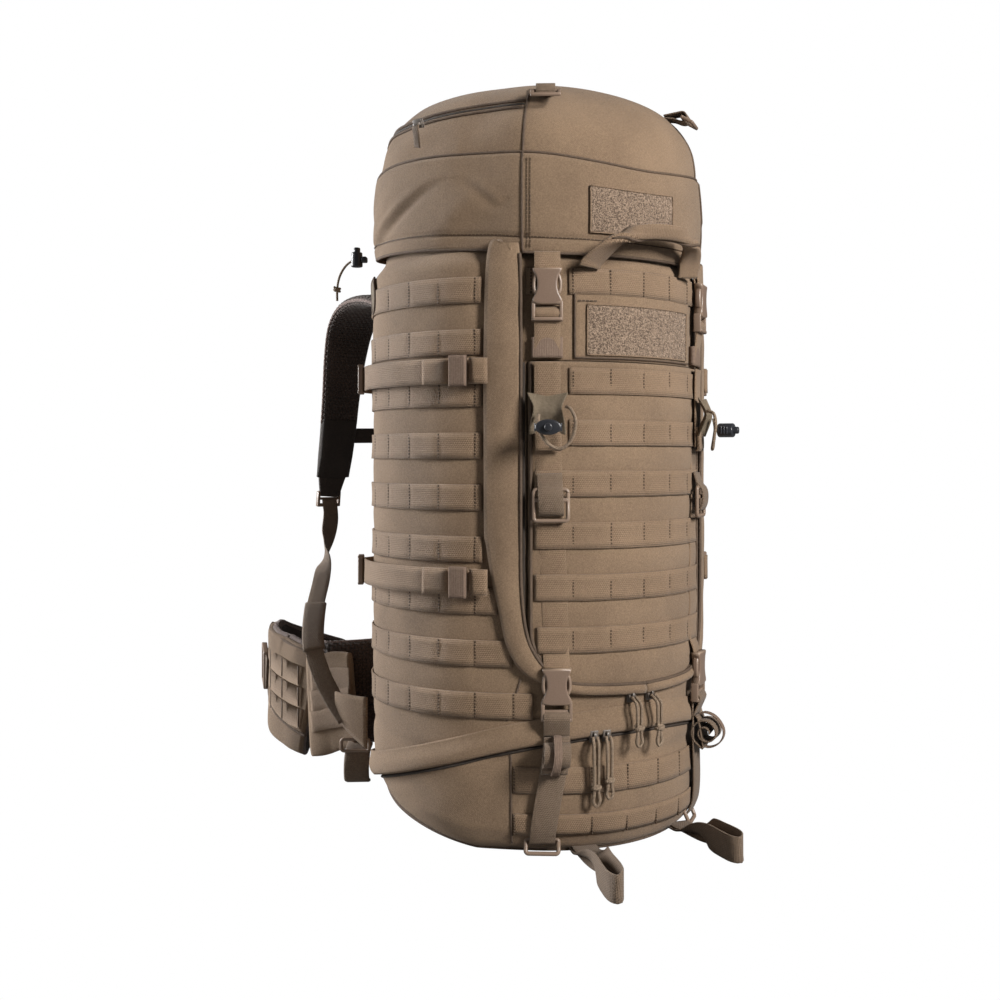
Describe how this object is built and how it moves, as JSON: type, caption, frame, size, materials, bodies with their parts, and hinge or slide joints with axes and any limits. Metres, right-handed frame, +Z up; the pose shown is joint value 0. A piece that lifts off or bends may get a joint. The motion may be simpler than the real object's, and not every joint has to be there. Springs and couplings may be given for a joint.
{
  "type": "hunting backpack",
  "caption": "Tall oval hunting backpack with a domed lid, fold-out front panel, upright buckled straps, padded shoulder harness and hip belt, standing on its base.",
  "frame": {"origin": "middle of the bag on the surface that its base stands on", "axes": "+Z up the pack, -Y out of the front panel, +Y towards the wearer, +X to the right when facing the front panel"},
  "size_m": [0.4264, 0.646, 0.78],
  "materials": {
    "cordura": "coated nylon plain weave, matte coyote brown",
    "webbing": "nylon webbing, ribbed",
    "spacer_mesh": "knitted spacer mesh over foam",
    "acetal": "moulded acetal, satin",
    "black_plastic": "moulded nylon, satin",
    "paracord": "braided cord",
    "aluminium": "plain bar",
    "zip_metal": "die-cast, painted"
  },
  "bodies": {
    "root": {"bag_shell": "cordura", "base_panel": "cordura", "compartment_divider": "cordura", "snow_collar": "cordura", "back_frame": "aluminium", "upper_buckle_left": "acetal", "upper_buckle_right": "acetal", "bottom_buckle_left": "acetal", "bottom_buckle_right": "acetal", "bottom_strap_left": "webbing", "bottom_strap_right": "webbing", "compression_strap_upper_left": "webbing", "compression_strap_upper_right": "webbing", "compression_strap_lower_left": "webbing", "compression_strap_lower_right": "webbing", "floor_loop_left": "webbing", "floor_loop_right": "webbing", "back_pad": "spacer_mesh", "belt_back": "spacer_mesh", "strap_webbing_left": "webbing", "strap_webbing_right": "webbing"},
    "lid": {"lid_shell": "cordura", "lid_floor": "cordura", "lid_buckle_left": "acetal", "lid_buckle_right": "acetal", "draw_lock": "black_plastic", "draw_cord": "paracord"},
    "door": {"front_door": "cordura", "door_strap_left": "webbing", "door_strap_right": "webbing", "lower_buckle_left": "acetal", "lower_buckle_right": "acetal", "pole_holder_left": "webbing", "pole_holder_right": "webbing", "pole_lock_left": "black_plastic", "pole_lock_right": "black_plastic", "pole_cord_left": "paracord", "pole_cord_right": "paracord"},
    "handle": {"carry_handle": "webbing"},
    "shoulder_left": {"shoulder_strap_left": "spacer_mesh", "chest_strap": "webbing"},
    "shoulder_right": {"shoulder_strap_right": "spacer_mesh"},
    "wing_left": {"hip_wing_left": "cordura", "hip_buckle_female": "acetal"},
    "wing_right": {"hip_wing_right": "cordura", "hip_buckle_male": "acetal"},
    "ring_left": {"lid_ring_left": "acetal"},
    "ring_right": {"lid_ring_right": "acetal"},
    "lid_zip": {"lid_slider": "zip_metal"},
    "bottom_zip_left": {"bottom_slider_left": "zip_metal", "bottom_pull_left": "paracord"},
    "bottom_zip_right": {"bottom_slider_right": "zip_metal", "bottom_pull_right": "paracord"},
    "door_zip_left": {"door_slider_left": "zip_metal", "door_pull_left": "paracord"},
    "door_zip_right": {"door_slider_right": "zip_metal", "door_pull_right": "paracord"},
    "pole_button_left": {"pole_lock_button_left": "black_plastic"},
    "pole_button_right": {"pole_lock_button_right": "black_plastic"},
    "draw_button": {"draw_lock_button": "black_plastic"}
  },
  "joints": [
    {"name": "lid_open", "type": "hinge", "parent": "root", "child": "lid", "pos_m": [0, 0.16, 0.614], "axis": [-1, 0, 0], "range_deg": [0, 75]},
    {"name": "door_fold", "type": "hinge", "parent": "root", "child": "door", "pos_m": [0, -0.151, 0.483], "axis": [-1, 0, 0], "range_deg": [0, 70]},
    {"name": "handle_swing", "type": "hinge", "parent": "root", "child": "handle", "pos_m": [0, -0.1445, 0.571], "axis": [1, 0, 0], "range_deg": [0, 80]},
    {"name": "shoulder_left_swing", "type": "hinge", "parent": "root", "child": "shoulder_left", "pos_m": [0, 0.172, 0.556], "axis": [1, 0, 0], "range_deg": [0, 20]},
    {"name": "shoulder_right_swing", "type": "hinge", "parent": "root", "child": "shoulder_right", "pos_m": [0, 0.172, 0.556], "axis": [1, 0, 0], "range_deg": [0, 20]},
    {"name": "wing_left_open", "type": "hinge", "parent": "root", "child": "wing_left", "pos_m": [-0.191, 0.213, 0.133], "axis": [0, 0, 1], "range_deg": [0, 35]},
    {"name": "wing_right_open", "type": "hinge", "parent": "root", "child": "wing_right", "pos_m": [0.191, 0.213, 0.133], "axis": [0, 0, -1], "range_deg": [0, 35]},
    {"name": "ring_left_lift", "type": "hinge", "parent": "lid", "child": "ring_left", "pos_m": [-0.08993, -0.11028, 0.7475], "axis": [-0.809, 0.5878, 0], "range_deg": [0, 70]},
    {"name": "ring_right_lift", "type": "hinge", "parent": "lid", "child": "ring_right", "pos_m": [0.08993, -0.11028, 0.7475], "axis": [-0.809, -0.5878, 0], "range_deg": [0, 70]},
    {"name": "lid_zip_run", "type": "hinge", "parent": "lid", "child": "lid_zip", "pos_m": [-0.03723, 0.03188, 0.722], "axis": [0, 0, 1], "range_deg": [-20, 20]},
    {"name": "bottom_zip_left_run", "type": "hinge", "parent": "root", "child": "bottom_zip_left", "pos_m": [0, 0.015, 0.116], "axis": [0, 0, 1], "range_deg": [-6.5, 0]},
    {"name": "bottom_zip_right_run", "type": "hinge", "parent": "root", "child": "bottom_zip_right", "pos_m": [0, 0.015, 0.116], "axis": [0, 0, 1], "range_deg": [0, 41]},
    {"name": "door_zip_left_run", "type": "hinge", "parent": "root", "child": "door_zip_left", "pos_m": [0, 0.015, 0.152], "axis": [0, 0, 1], "range_deg": [-20, 0]},
    {"name": "door_zip_right_run", "type": "hinge", "parent": "root", "child": "door_zip_right", "pos_m": [0, 0.015, 0.152], "axis": [0, 0, 1], "range_deg": [0, 22]},
    {"name": "pole_button_left_press", "type": "slide", "parent": "door", "child": "pole_button_left", "axis": [0.549, 0.8358, 0], "range_m": [0, 0.004], "stiffness_N_per_m": 200, "springref_m": -0.002},
    {"name": "pole_button_right_press", "type": "slide", "parent": "door", "child": "pole_button_right", "axis": [-0.549, 0.8358, 0], "range_m": [0, 0.004], "stiffness_N_per_m": 200, "springref_m": -0.002},
    {"name": "draw_button_press", "type": "slide", "parent": "lid", "child": "draw_button", "axis": [0, 0, -1], "range_m": [0, 0.004], "stiffness_N_per_m": 200, "springref_m": -0.002}
  ],
  "couplings": [
    {"joint": "shoulder_right_swing", "follows": "shoulder_left_swing", "ratio": 1}
  ]
}
